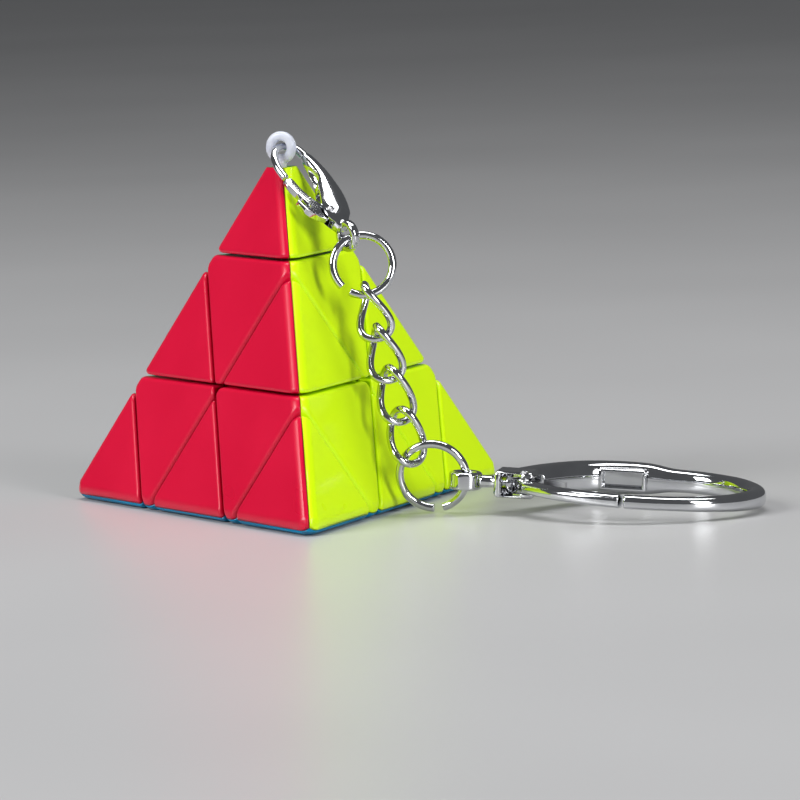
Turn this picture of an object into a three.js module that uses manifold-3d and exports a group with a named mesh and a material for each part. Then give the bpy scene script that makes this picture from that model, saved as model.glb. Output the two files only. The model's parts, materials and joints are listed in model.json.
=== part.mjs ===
// Keychain pyramid twisty puzzle: a three-layer tetrahedral puzzle with coloured plastic pieces, its inner
// mechanism, and the chain of small chrome fittings that hangs from its apex.
// Millimetres, +Z up, +X towards the snap hook, the puzzle standing on its blue face at z = 0.
import * as THREE from 'three';
import * as BufferGeometryUtils from 'three/addons/utils/BufferGeometryUtils.js';
import Module from 'manifold-3d';

const wasm = await Module();
wasm.setup();

const degrees = THREE.MathUtils.degToRad;

// ---------------------------------------------------------------- driving dimensions: puzzle
const EDGE = 45;                       // edge of the sharp tetrahedron
const TIP_SHARE = 0.33;                // share of the height that the small tips take
const DEEP_SHARE = 0.66;               // share of the height down to the deep cut
const EDGE_ROUND = 1.2;                // rounding of the tetrahedron's edges
const SEAM = 0.24;                     // gap between pieces that turn past each other
const SHELL_GAP = 0.06;                // gap between the coloured shells of one piece
const YAW = degrees(-15);              // direction that the yellow face looks in
const APEX_FLAT_Z = 33.1;              // the apex tip ends in a small flat under the eyelet

// ---------------------------------------------------------------- driving dimensions: mechanism
const BALL_R = 3.2;                    // core ball
const POST_R = 1.7;                    // posts of the core
const POST_TOP = 5.7;                  // end of a post, from the centre
const HOOK_R = 7.35;                   // sphere under which the pieces' feet hook
const FOOT_ANGLE = degrees(76);        // cone that bounds a layer inside that sphere
const MECH_GAP = 0.3;                  // play between parts of the mechanism
const SCREW_R = 0.75;
const SCREW_BORE_R = 1.05;
const SCREW_HEAD_R = 1.5;
const SCREW_HEAD_H = 0.9;
const SCREW_START = 2.6;               // the screw's end in the core, from the centre
const POCKET_R = 1.9;                  // pocket in a tip that holds the spring and the screw head
const POCKET_FLOOR = 16.6;
const POCKET_TOP = 20.2;
const SPRING_H = 2.1;
const SPRING_R = 1.55;

// ---------------------------------------------------------------- driving dimensions: eyelet on the apex
const EYELET_RING_R = 1.12;            // middle of the nylon ring's section
const EYELET_WIRE_R = 0.46;
const EYELET_Z = 35.0;
const EYELET_STEM_R = 0.5;
const EYELET_HEAD_R = 1.0;
const EYELET_HEAD_H = 0.7;
const EYELET_HOLE_AZIMUTH = degrees(-104);   // direction that its hole looks in

// ---------------------------------------------------------------- driving dimensions: small clasp
// local x: from the nose side to the spine, local y: towards the eyelet, origin in the eyelet's hole
const CLASP_LEAN = new THREE.Vector3(0.560, -0.470, -0.683);   // from the eyelet to the clasp's eye
const CLASP_FACES = new THREE.Vector3(0.187, -0.976, 0.115);   // roughly where its flat side looks
const CLASP_TWIST = degrees(40);       // turned back about its own length
const CLASP_WIRE_R = 0.37;
const CLASP_THICK = 1.9;
const CLASP_SLOT_H = 0.95;             // slot in the body for the lever
const CLASP_LEVER_THICK = 0.7;
const CLASP_PIVOT = new THREE.Vector2(0.15, -9.2);
const CLASP_PIN_R = 0.32;
const CLASP_EYE = new THREE.Vector3(0.7, -12.2, 0);
const CLASP_EYE_R = 1.25;              // middle of the eye's wire
const CLASP_EYE_WIRE_R = 0.34;
const PIN_PLAY = 0.08;                 // play between a pivot pin and its bore

// ---------------------------------------------------------------- driving dimensions: chain
const RING_WIRE_R = 0.38;
const UPPER_RING_R = 2.9;              // middle of the wire
const LOWER_RING_R = 3.25;
const RING_GAP = 0.9;                  // opening of the jump rings
const UPPER_RING_FACES = new THREE.Vector3(0.3, -0.93, 0.2).normalize();
const UPPER_RING_OPENING = degrees(-62);
const UPPER_RING_HOLDS = degrees(-19); // where the first link hangs on it
const LOWER_RING_CENTRE = new THREE.Vector3(15.35, -8.0, LOWER_RING_R + RING_WIRE_R + 0.05);
const LOWER_RING_LEAN = degrees(12);   // its top leans forwards
const LOWER_RING_OPENING = degrees(-84);
const LOWER_RING_HOLDS = degrees(130); // where the last link hangs on it
const LINK_WIRE_R = 0.35;
const LINK_HALF_WIDTH = 1.5;           // middle of the wire
const LINK_HALF_LENGTH = 2.7;
const LINK_TWIST = 0.95;               // how far the sides of a curb link stand out of its plane
const LINK_COUNT = 4;
const FIRST_LINK_TURN = degrees(46);   // turn of the links about the chain's line
const LAST_LINK_TURN = degrees(9);
const WIRE_PLAY = 0.27;                // play between two wires that hang on each other
const LOWER_SLACK = 0.2;               // more play where the chain lies slack on the lower ring

// ---------------------------------------------------------------- driving dimensions: snap hook
// local x: along the hook from its swivel eye to its tip, local y: across it, local z: its thickness
const HOOK_EYE_AT = new THREE.Vector3(18.5, -8.0, 3.25);
const HOOK_DROOP = degrees(4);         // the tip lies lower than the eye
const HOOK_THICK = 2.2;
const HOOK_SPINE_THICK = 3.2;
const HOOK_EYE_HOLE_R = 0.85;
const HOOK_EYE_R = 1.6;
const HOOK_EYE_H = 1.7;
const HOOK_EYE_BEVEL = 0.3;
const HOOK_NECK_R = 0.6;
const HOOK_NECK_END = 4.75;
const HOOK_COLLAR = { at: 4.35, radius: 0.95, length: 0.7 };
const HOOK_BLOCK = { from: 3.0, to: 6.9, width: 3.6, thick: 2.6 };
const HOOK_PIVOT = new THREE.Vector2(5.9, -1.2);
const HOOK_PIN_R = 0.45;
const HOOK_SLOT_H = 1.5;
const HOOK_GATE_THICK = 1.25;
const HOOK_ARM_THICK = 1.4;            // of the nose side, which is thinner than the rest of the loop

const HEIGHT = EDGE * Math.sqrt(2 / 3);
const OUT_R = 0.75 * HEIGHT;           // centre to a vertex
const IN_R = 0.25 * HEIGHT;            // centre to a face
const TIP_CUT = OUT_R - TIP_SHARE * HEIGHT;
const DEEP_CUT = OUT_R - DEEP_SHARE * HEIGHT;
const EDGE_MID_R = EDGE / (2 * Math.SQRT2);
const HALF_DIHEDRAL_SIN = 1 / Math.sqrt(3);
const CHAMFER_AT = EDGE_MID_R - EDGE_ROUND * (1 / HALF_DIHEDRAL_SIN - 1);
const VERTEX_FLAT_AT = OUT_R - 2 * EDGE_ROUND;
const CENTRE = new THREE.Vector3(0, 0, IN_R);
const UP = new THREE.Vector3(0, 0, 1);

// ---------------------------------------------------------------- materials
const standard = (color, roughness, metalness) =>
  new THREE.MeshStandardMaterial({ color, roughness, metalness });
const MATERIALS = {
  red: standard(0xd6003c, 0.3, 0),
  yellow: standard(0xcdf500, 0.3, 0),
  blue: standard(0x0090c8, 0.3, 0),
  green: standard(0x00a84a, 0.3, 0),
  core: standard(0x1c1c1e, 0.5, 0),
  steel: standard(0x9a9ca0, 0.35, 1),
  nylon: standard(0xe6e9f2, 0.4, 0),
  chrome: standard(0xd8dadd, 0.12, 1),
};

// ---------------------------------------------------------------- solids
function toManifold(geometry) {
  const bare = geometry.clone();
  bare.deleteAttribute('normal');
  bare.deleteAttribute('uv');
  const merged = BufferGeometryUtils.mergeVertices(bare, 1e-5);
  const vertProperties = new Float32Array(merged.attributes.position.array);
  const triVerts = new Uint32Array(merged.index.array);
  return new wasm.Manifold(new wasm.Mesh({ numProp: 3, vertProperties, triVerts }));
}

function toGeometry(solid) {
  const mesh = solid.getMesh();
  const geometry = new THREE.BufferGeometry();
  geometry.setAttribute('position', new THREE.BufferAttribute(new Float32Array(mesh.vertProperties), 3));
  geometry.setIndex(new THREE.BufferAttribute(new Uint32Array(mesh.triVerts), 1));
  geometry.computeVertexNormals();
  return geometry;
}

const intersectAll = (solids) => solids.reduce((all, solid) => all.intersect(solid));
const addAll = (solids) => solids.reduce((all, solid) => all.add(solid));

function placed(geometry, direction, origin) {
  const turn = new THREE.Quaternion().setFromUnitVectors(UP, direction);
  return geometry.applyQuaternion(turn).translate(origin.x, origin.y, origin.z);
}

// everything with (point - centre) . direction > distance
const BIG = 80;
function beyond(direction, distance) {
  const box = new THREE.BoxGeometry(2 * BIG, 2 * BIG, BIG).translate(0, 0, BIG / 2 + distance);
  return toManifold(placed(box, direction, CENTRE));
}
const below = (direction, distance) => beyond(direction.clone().negate(), -distance);

// a cylinder along a vertex axis, from one distance to another from the centre
function axisCylinder(direction, radius, from, to, sides = 12) {
  const cylinder = new THREE.CylinderGeometry(radius, radius, to - from, sides);
  cylinder.rotateX(Math.PI / 2).translate(0, 0, (from + to) / 2);
  return toManifold(placed(cylinder, direction, CENTRE));
}

function ball(radius) {
  const sphere = new THREE.SphereGeometry(radius, 20, 10);
  return toManifold(sphere.translate(CENTRE.x, CENTRE.y, CENTRE.z));
}

// the cone about a vertex axis that bounds a layer inside the mechanism, moved along the axis by shift
function layerCone(direction, shift) {
  const height = 9;
  const cone = new THREE.ConeGeometry(height * Math.tan(FOOT_ANGLE), height, 16);
  cone.rotateX(-Math.PI / 2).translate(0, 0, height / 2 + shift);
  return toManifold(placed(cone, direction, CENTRE));
}

// ---------------------------------------------------------------- the four vertices and faces
const LOW = Math.asin(1 / 3);
function baseDirection(azimuth) {
  const flat = Math.cos(LOW);
  return new THREE.Vector3(flat * Math.cos(azimuth), flat * Math.sin(azimuth), -Math.sin(LOW));
}
const THIRD = Math.PI / 3;
const VERTICES = {
  apex: UP.clone(),
  front: baseDirection(YAW - THIRD),
  right: baseDirection(YAW + THIRD),
  left: baseDirection(YAW + Math.PI),
};
// each face is named by its colour and lies opposite one vertex
const FACE_OPPOSITE = { red: 'right', yellow: 'left', blue: 'apex', green: 'front' };
const VERTEX_NAMES = Object.keys(VERTICES);
const otherVertices = (...names) => VERTEX_NAMES.filter((name) => !names.includes(name));
const coloursAt = (...names) =>
  Object.keys(FACE_OPPOSITE).filter((colour) => !names.includes(FACE_OPPOSITE[colour]));

function pairs(names) {
  return names.flatMap((first, index) => names.slice(index + 1).map((second) => [first, second]));
}
const EDGES = pairs(VERTEX_NAMES);

// ---------------------------------------------------------------- the outer body, cut and split
function outerBody() {
  const faces = VERTEX_NAMES.map((name) => below(VERTICES[name].clone().negate(), IN_R));
  const chamfers = EDGES.map(([first, second]) => {
    const outward = VERTICES[first].clone().add(VERTICES[second]).normalize();
    return below(outward, CHAMFER_AT);
  });
  const flats = VERTEX_NAMES.map((name) =>
    below(VERTICES[name], name === 'apex' ? APEX_FLAT_Z - IN_R : VERTEX_FLAT_AT));
  return intersectAll([...faces, ...chamfers, ...flats]);
}

// the part of a piece that is nearer to its own face than to the other faces of the same piece
function colourSector(colour, colours) {
  const own = VERTICES[FACE_OPPOSITE[colour]];
  const others = colours.filter((other) => other !== colour);
  return intersectAll(others.map((other) => {
    const away = VERTICES[FACE_OPPOSITE[other]].clone().sub(own).normalize();
    return beyond(away, SHELL_GAP / 2);
  }));
}

const BODY = outerBody();
const HALF_SEAM = SEAM / 2;
const HALF_MECH = MECH_GAP / 2;
const CONE_SHIFT = HALF_MECH / Math.sin(FOOT_ANGLE);
const OVER_HOOK = ball(HOOK_R + HALF_MECH);
const UNDER_HOOK = ball(HOOK_R - HALF_MECH);
const ROUND_CORE = ball(BALL_R + MECH_GAP);

function tipSolid(name) {
  const axis = VERTICES[name];
  const pocketTop = name === 'apex' ? POCKET_TOP + EYELET_HEAD_H + 0.4 : POCKET_TOP;
  let solid = BODY.intersect(beyond(axis, TIP_CUT + HALF_SEAM));
  solid = solid.subtract(axisCylinder(axis, SCREW_BORE_R, TIP_CUT - 1, POCKET_FLOOR + 0.1));
  solid = solid.subtract(axisCylinder(axis, POCKET_R, POCKET_FLOOR, POCKET_TOP));
  if (name === 'apex') {
    solid = solid.subtract(axisCylinder(axis, EYELET_HEAD_R + 0.2, POCKET_TOP - 0.1, pocketTop));
    solid = solid.subtract(axisCylinder(axis, EYELET_STEM_R + 0.15, pocketTop - 0.1, OUT_R));
  }
  return solid;
}

// outer is what the piece fills over the hooking sphere, inner what it fills under it
function hookedSolid(outer, inner) {
  const above = outer.subtract(OVER_HOOK);
  const under = inner.intersect(UNDER_HOOK).subtract(ROUND_CORE);
  const joining = outer.intersect(inner).subtract(ROUND_CORE);
  return addAll([above, under, joining]);
}

function innerZone(insideNames, outsideNames) {
  const inside = intersectAll(insideNames.map((name) => layerCone(VERTICES[name], CONE_SHIFT)));
  return outsideNames.reduce((zone, name) => zone.subtract(layerCone(VERTICES[name], -CONE_SHIFT)), inside);
}

function axialSolid(name) {
  const axis = VERTICES[name];
  const others = otherVertices(name);
  const cuts = others.map((other) => below(VERTICES[other], DEEP_CUT - HALF_SEAM));
  const layer = beyond(axis, DEEP_CUT + HALF_SEAM).intersect(below(axis, TIP_CUT - HALF_SEAM));
  const outer = intersectAll([BODY, layer, ...cuts]);
  const solid = hookedSolid(outer, innerZone([name], others));
  return solid
    .subtract(axisCylinder(axis, POST_R + MECH_GAP, 0, POST_TOP + 0.2))
    .subtract(axisCylinder(axis, SCREW_BORE_R, POST_TOP, TIP_CUT + 1));
}

function edgeSolid(first, second) {
  const inLayers = [first, second].map((name) => beyond(VERTICES[name], DEEP_CUT + HALF_SEAM));
  const outer = intersectAll([BODY, ...inLayers]);
  return hookedSolid(outer, innerZone([first, second], otherVertices(first, second)));
}

// ---------------------------------------------------------------- eyelet on the apex
function eyelet() {
  const ring = new THREE.TorusGeometry(EYELET_RING_R, EYELET_WIRE_R, 8, 16);
  ring.rotateX(Math.PI / 2).rotateZ(EYELET_HOLE_AZIMUTH + Math.PI / 2).translate(0, 0, EYELET_Z);
  const headBottom = IN_R + POCKET_TOP + 0.1;
  const stemTop = EYELET_Z - EYELET_RING_R;
  const stem = axisCylinder(UP, EYELET_STEM_R, headBottom - IN_R, stemTop - IN_R);
  const head = axisCylinder(UP, EYELET_HEAD_R, headBottom - IN_R, headBottom - IN_R + EYELET_HEAD_H);
  return addAll([toManifold(ring), stem, head]);
}

// ---------------------------------------------------------------- core, screws and springs
function coreSolid() {
  const posts = VERTEX_NAMES.map((name) => axisCylinder(VERTICES[name], POST_R, 0, POST_TOP));
  const bores = VERTEX_NAMES.map((name) =>
    axisCylinder(VERTICES[name], SCREW_R + 0.06, SCREW_START - 0.2, POST_TOP + 1));
  const middle = toManifold(new THREE.SphereGeometry(BALL_R, 14, 8).translate(0, 0, IN_R));
  return addAll([middle, ...posts]).subtract(addAll(bores));
}

const SPRING_FLOOR = POCKET_FLOOR + 0.1;
const HEAD_FLOOR = SPRING_FLOOR + SPRING_H + 0.1;
function screwSolid(name) {
  const axis = VERTICES[name];
  const shank = axisCylinder(axis, SCREW_R, SCREW_START, HEAD_FLOOR + 0.2);
  const head = axisCylinder(axis, SCREW_HEAD_R, HEAD_FLOOR, HEAD_FLOOR + SCREW_HEAD_H);
  return shank.add(head);
}

function springSolid(name) {
  const axis = VERTICES[name];
  const sleeve = axisCylinder(axis, SPRING_R, SPRING_FLOOR, SPRING_FLOOR + SPRING_H);
  return sleeve.subtract(axisCylinder(axis, SCREW_R + 0.2, 0, OUT_R));
}

// ---------------------------------------------------------------- assembling the puzzle
const puzzle = new THREE.Group();

function addMesh(group, name, solid, material) {
  const geometry = solid.isBufferGeometry ? solid : toGeometry(solid);
  const mesh = new THREE.Mesh(geometry, MATERIALS[material]);
  mesh.name = name;
  group.add(mesh);
  return mesh;
}

function addColoured(prefix, solid, colours) {
  for (const colour of colours) {
    addMesh(puzzle, `${prefix}_${colour}`, solid.intersect(colourSector(colour, colours)), colour);
  }
}

for (const name of VERTEX_NAMES) {
  addColoured(`tip_${name}`, tipSolid(name), coloursAt(name));
  addColoured(`centre_${name}`, axialSolid(name), coloursAt(name));
  addMesh(puzzle, `screw_${name}`, screwSolid(name), 'steel');
  addMesh(puzzle, `spring_${name}`, springSolid(name), 'steel');
}
for (const [first, second] of EDGES) {
  addColoured(`edge_${first}_${second}`, edgeSolid(first, second), coloursAt(first, second));
}
addMesh(puzzle, 'core', coreSolid(), 'core');
addMesh(puzzle, 'eyelet', eyelet(), 'nylon');

// ---------------------------------------------------------------- tubes along curves
function circleShape(radius, sides) {
  const shape = new THREE.Shape();
  for (let side = 0; side < sides; side += 1) {
    const angle = (2 * Math.PI * side) / sides;
    const x = radius * Math.cos(angle);
    const y = radius * Math.sin(angle);
    if (side === 0) shape.moveTo(x, y);
    else shape.lineTo(x, y);
  }
  return shape;
}

function tube(curve, radius, steps, sides = 8) {
  const settings = { steps, bevelEnabled: false, extrudePath: curve };
  return new THREE.ExtrudeGeometry(circleShape(radius, sides), settings);
}

// a group whose local x, y and z point along the given directions
function frameGroup(origin, xAxis, yAxis) {
  const x = xAxis.clone().normalize();
  const z = x.clone().cross(yAxis).normalize();
  const y = z.clone().cross(x);
  const group = new THREE.Group();
  group.setRotationFromMatrix(new THREE.Matrix4().makeBasis(x, y, z));
  group.position.copy(origin);
  return group;
}

// ---------------------------------------------------------------- small clasp on the eyelet
function claspAxes() {
  const along = CLASP_LEAN.clone().normalize();
  const faces = CLASP_FACES.clone().addScaledVector(along, -CLASP_FACES.dot(along)).normalize();
  const across = faces.clone().cross(along).applyAxisAngle(along, -CLASP_TWIST);
  return { across, upward: along.clone().negate() };
}

function extruded(shape, thickness, curveSegments) {
  const settings = { depth: thickness, bevelEnabled: false, curveSegments };
  return new THREE.ExtrudeGeometry(shape, settings).translate(0, 0, -thickness / 2);
}

// a cylinder along local z, centred on a point of the local xy plane
function crossCylinder(point, radius, length) {
  const cylinder = new THREE.CylinderGeometry(radius, radius, length, 12);
  return cylinder.rotateX(Math.PI / 2).translate(point.x, point.y, 0);
}

const vectors = (points) => points.map(([x, y]) => new THREE.Vector2(x, y));

function claspBody() {
  const armPath = new THREE.CatmullRomCurve3([
    [2.2, -2.3], [1.5, -0.6], [0.35, 0.05], [-0.65, -0.2], [-1.4, -1.05], [-1.8, -2.4], [-1.75, -3.9],
  ].map(([x, y]) => new THREE.Vector3(x, y, 0)));
  const arm = toManifold(tube(armPath, CLASP_WIRE_R, 16));

  const outline = new THREE.Shape();
  outline.moveTo(1.75, -1.2);
  outline.splineThru(vectors([[2.75, -2.7], [3.1, -5.2], [3.05, -7.7], [2.3, -9.7], [1.4, -11.2]]));
  outline.lineTo(0.0, -11.2);
  outline.splineThru(vectors([[-0.75, -9.6], [0.0, -8.2], [1.0, -6.9], [1.4, -4.8], [1.45, -2.8]]));
  outline.closePath();
  let body = toManifold(extruded(outline, CLASP_THICK, 3));

  const slot = new THREE.BoxGeometry(2.6, 4.2, CLASP_SLOT_H).translate(-0.3, -8.6, 0);
  const pocket = new THREE.SphereGeometry(1, 8, 6).scale(0.6, 1.3, 0.6).translate(1.3, -4.7, 0);
  const bore = crossCylinder(CLASP_PIVOT, CLASP_PIN_R + PIN_PLAY, 3);
  body = body.subtract(toManifold(slot)).subtract(toManifold(pocket)).subtract(toManifold(bore));

  const eye = new THREE.TorusGeometry(CLASP_EYE_R, CLASP_EYE_WIRE_R, 7, 14);
  eye.rotateY(Math.PI / 2).translate(CLASP_EYE.x, CLASP_EYE.y, CLASP_EYE.z);
  return addAll([body, arm, toManifold(eye)]);
}

function claspLever() {
  const outline = new THREE.Shape();
  outline.moveTo(0.65, -9.3);
  outline.splineThru(vectors([[0.35, -9.75], [-0.6, -10.0], [-1.7, -9.0], [-2.2, -7.3]]));
  outline.lineTo(-1.8, -7.3);
  outline.splineThru(vectors([[-1.45, -8.2], [-1.0, -8.6]]));
  outline.splineThru(vectors([[-1.45, -7.2], [-2.0, -5.6], [-2.15, -4.3]]));
  outline.lineTo(-1.4, -4.3);
  outline.splineThru(vectors([[-1.15, -6.0], [-0.5, -7.5], [0.4, -8.7]]));
  outline.closePath();
  const lever = toManifold(extruded(outline, CLASP_LEVER_THICK, 3));
  const bore = crossCylinder(CLASP_PIVOT, CLASP_PIN_R + PIN_PLAY, 3);
  return lever.subtract(toManifold(bore));
}

const { across, upward } = claspAxes();
const clasp = frameGroup(new THREE.Vector3(0, 0, EYELET_Z), across, upward);
addMesh(clasp, 'clasp_body', claspBody(), 'chrome');
addMesh(clasp, 'clasp_lever', claspLever(), 'chrome');
addMesh(clasp, 'clasp_pin', crossCylinder(CLASP_PIVOT, CLASP_PIN_R, CLASP_THICK), 'chrome');
clasp.updateMatrixWorld(true);

// ---------------------------------------------------------------- jump rings
// an open wire ring in the local xy plane, its opening at the given angle
function jumpRing(radius, openingAngle) {
  const halfOpening = RING_GAP / 2 / radius;
  const sweep = 2 * Math.PI - 2 * halfOpening;
  class RingCurve extends THREE.Curve {
    getPoint(t, target = new THREE.Vector3()) {
      const angle = openingAngle + halfOpening + t * sweep;
      return target.set(radius * Math.cos(angle), radius * Math.sin(angle), 0);
    }
  }
  return tube(new RingCurve(), RING_WIRE_R, 22);
}

const claspEyePoint = CLASP_EYE.clone().applyMatrix4(clasp.matrixWorld);
const upperRingDrop = new THREE.Vector3(0.46, -0.16, -0.83);
upperRingDrop.addScaledVector(UPPER_RING_FACES, -upperRingDrop.dot(UPPER_RING_FACES)).normalize();
const eyePlay = CLASP_EYE_R - CLASP_EYE_WIRE_R - RING_WIRE_R - WIRE_PLAY;
const upperRingCentre = claspEyePoint.clone().addScaledVector(upperRingDrop, eyePlay + UPPER_RING_R);
const upperRing = frameGroup(upperRingCentre, upperRingDrop, UPPER_RING_FACES.clone().cross(upperRingDrop));
addMesh(upperRing, 'upper_ring', jumpRing(UPPER_RING_R, UPPER_RING_OPENING), 'chrome');
upperRing.updateMatrixWorld(true);

const lowerRing = frameGroup(LOWER_RING_CENTRE, new THREE.Vector3(1, 0, 0),
  new THREE.Vector3(0, -Math.sin(LOWER_RING_LEAN), Math.cos(LOWER_RING_LEAN)));
addMesh(lowerRing, 'lower_ring', jumpRing(LOWER_RING_R, LOWER_RING_OPENING), 'chrome');
lowerRing.updateMatrixWorld(true);

// ---------------------------------------------------------------- curb links
const onRing = (ring, radius, angle) =>
  new THREE.Vector3(radius * Math.cos(angle), radius * Math.sin(angle), 0).applyMatrix4(ring.matrixWorld);
const chainTop = onRing(upperRing, UPPER_RING_R, UPPER_RING_HOLDS);
const chainEnd = onRing(lowerRing, LOWER_RING_R, LOWER_RING_HOLDS);
const chainLine = chainEnd.clone().sub(chainTop);
const chainDirection = chainLine.clone().normalize();
const wireOffset = RING_WIRE_R + LINK_WIRE_R + WIRE_PLAY;
const linkSpan = chainLine.length() - 2 * LINK_HALF_LENGTH + 2 * wireOffset + LOWER_SLACK;
const linkPitch = linkSpan / (LINK_COUNT - 1);

class LinkCurve extends THREE.Curve {
  getPoint(t, target = new THREE.Vector3()) {
    const angle = 2 * Math.PI * t;
    return target.set(
      LINK_HALF_LENGTH * Math.cos(angle),
      LINK_HALF_WIDTH * Math.sin(angle),
      -LINK_TWIST * Math.sin(2 * angle),
    );
  }
}

// a closed tube: rings of points about the curve, joined up at the end
function closedTube(curve, radius, steps, sides) {
  const positions = [];
  const indices = [];
  const frames = curve.computeFrenetFrames(steps, true);
  for (let step = 0; step < steps; step += 1) {
    const centre = curve.getPointAt(step / steps);
    for (let side = 0; side < sides; side += 1) {
      const angle = (2 * Math.PI * side) / sides;
      const point = centre.clone()
        .addScaledVector(frames.normals[step], radius * Math.cos(angle))
        .addScaledVector(frames.binormals[step], radius * Math.sin(angle));
      positions.push(point.x, point.y, point.z);
      const here = step * sides + side;
      const beside = step * sides + ((side + 1) % sides);
      const next = ((step + 1) % steps) * sides + side;
      const nextBeside = ((step + 1) % steps) * sides + ((side + 1) % sides);
      indices.push(here, beside, next, beside, nextBeside, next);
    }
  }
  const geometry = new THREE.BufferGeometry();
  geometry.setAttribute('position', new THREE.Float32BufferAttribute(positions, 3));
  geometry.setIndex(indices);
  geometry.computeVertexNormals();
  return geometry;
}

const chain = new THREE.Group();
for (let index = 0; index < LINK_COUNT; index += 1) {
  const distance = LINK_HALF_LENGTH - wireOffset + index * linkPitch;
  const middle = chainTop.clone().addScaledVector(chainDirection, distance);
  const turn = THREE.MathUtils.lerp(FIRST_LINK_TURN, LAST_LINK_TURN, index / (LINK_COUNT - 1));
  const side = new THREE.Vector3(0.97, 0.18, 0).applyAxisAngle(chainDirection, turn);
  const link = frameGroup(middle, chainDirection, side);
  addMesh(link, `chain_link_${index + 1}`, closedTube(new LinkCurve(), LINK_WIRE_R, 22, 6), 'chrome');
  chain.add(link);
}

// ---------------------------------------------------------------- snap hook
function hookBody() {
  const outline = new THREE.Shape();
  outline.moveTo(3.0, 1.2);
  outline.splineThru(vectors([[6, 4.6], [10, 8.2], [14, 9.6], [18, 9.3], [22.6, 8.2], [26.8, 5.3], [29.1, 0],
    [27.5, -4.9], [23.8, -7.7], [19.8, -8.7], [15.9, -8.85]]));
  outline.lineTo(17.1, -7.35);
  outline.splineThru(vectors([[19.6, -7.2], [23.1, -6.2], [26.1, -3.9], [27.3, 0], [25.4, 4.0], [22.0, 6.3],
    [18, 6.9], [16.9, 6.4], [13, 6.4], [10.4, 5.2], [8.3, 2.4], [7.4, 1.2]]));
  outline.closePath();
  const loop = toManifold(extruded(outline, HOOK_THICK, 3));

  // the thick spine on the side away from the gate
  const spineOutline = new THREE.Shape();
  spineOutline.moveTo(5.0, 3.2);
  spineOutline.splineThru(vectors([[9, 7.1], [13, 9.0], [17.4, 9.1]]));
  spineOutline.lineTo(17.4, 7.0);
  spineOutline.splineThru(vectors([[13.2, 6.6], [10.0, 5.3], [7.4, 1.6]]));
  spineOutline.closePath();
  const spine = toManifold(extruded(spineOutline, HOOK_SPINE_THICK, 2));

  const blockLength = HOOK_BLOCK.to - HOOK_BLOCK.from;
  const block = new THREE.BoxGeometry(blockLength, HOOK_BLOCK.width, HOOK_BLOCK.thick);
  block.translate((HOOK_BLOCK.from + HOOK_BLOCK.to) / 2, 0, 0);
  const gateSlot = new THREE.BoxGeometry(4.0, 6, HOOK_SLOT_H).translate(6.75, -1.8, 0);
  const armThinning = (HOOK_THICK - HOOK_ARM_THICK) / 2;
  const aboveArm = new THREE.BoxGeometry(17, 7, armThinning + 1);
  aboveArm.translate(22, -8, (HOOK_ARM_THICK + armThinning + 1) / 2);
  const belowArm = aboveArm.clone().rotateX(Math.PI).translate(0, -16, 0);
  const collarRoom = new THREE.BoxGeometry(1.2, 3.2, 2.2).translate(HOOK_COLLAR.at, -0.5, 0);
  const neckBore = new THREE.CylinderGeometry(HOOK_NECK_R + 0.2, HOOK_NECK_R + 0.2, 3, 16);
  neckBore.rotateZ(Math.PI / 2).translate(3.3, 0, 0);
  const pinBore = crossCylinder(HOOK_PIVOT, HOOK_PIN_R + PIN_PLAY, 6);
  const recess = new THREE.BoxGeometry(3.9, 2.2, 1.3).translate(14.3, 6.2, 0);
  const cuts = [gateSlot, collarRoom, neckBore, pinBore, recess, aboveArm, belowArm].map(toManifold);
  return addAll([loop, spine, toManifold(block)]).subtract(addAll(cuts));
}

function hookGate() {
  const outline = new THREE.Shape();
  outline.moveTo(6.8, -1.2);
  outline.splineThru(vectors([[8.8, -3.3], [12.4, -6.0], [16.7, -7.35]]));
  outline.lineTo(15.5, -8.8);
  outline.splineThru(vectors([[12.8, -7.9], [9.6, -6.2], [7.8, -5.7], [5.3, -4.0], [5.0, -1.2]]));
  outline.splineThru(vectors([[5.9, -0.3], [6.8, -1.2]]));
  outline.closePath();
  const bore = crossCylinder(HOOK_PIVOT, HOOK_PIN_R + PIN_PLAY, 6);
  return toManifold(extruded(outline, HOOK_GATE_THICK, 3)).subtract(toManifold(bore));
}

function hookEye() {
  const half = HOOK_EYE_H / 2;
  const low = HOOK_EYE_BEVEL - half;
  const inner = HOOK_EYE_HOLE_R + HOOK_EYE_BEVEL;
  const outer = HOOK_EYE_R - HOOK_EYE_BEVEL;
  const profile = vectors([
    [HOOK_EYE_HOLE_R, low], [inner, -half], [outer, -half], [HOOK_EYE_R, low],
    [HOOK_EYE_R, -low], [outer, half], [inner, half], [HOOK_EYE_HOLE_R, -low], [HOOK_EYE_HOLE_R, low],
  ]);
  const loop = new THREE.LatheGeometry(profile, 16).rotateX(Math.PI / 2);
  const neck = new THREE.CylinderGeometry(HOOK_NECK_R, HOOK_NECK_R, HOOK_NECK_END - HOOK_EYE_R + 0.3, 16);
  neck.rotateZ(Math.PI / 2).translate((HOOK_NECK_END + HOOK_EYE_R - 0.3) / 2, 0, 0);
  const collar = new THREE.CylinderGeometry(HOOK_COLLAR.radius, HOOK_COLLAR.radius, HOOK_COLLAR.length, 16);
  collar.rotateZ(Math.PI / 2).translate(HOOK_COLLAR.at, 0, 0);
  return addAll([loop, neck, collar].map(toManifold));
}

// the gate's return spring, a flat leaf behind the gate
function hookSpring() {
  return new THREE.BoxGeometry(2.6, 0.25, 0.8).rotateZ(-0.5).translate(8.7, 0.25, 0);
}

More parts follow.
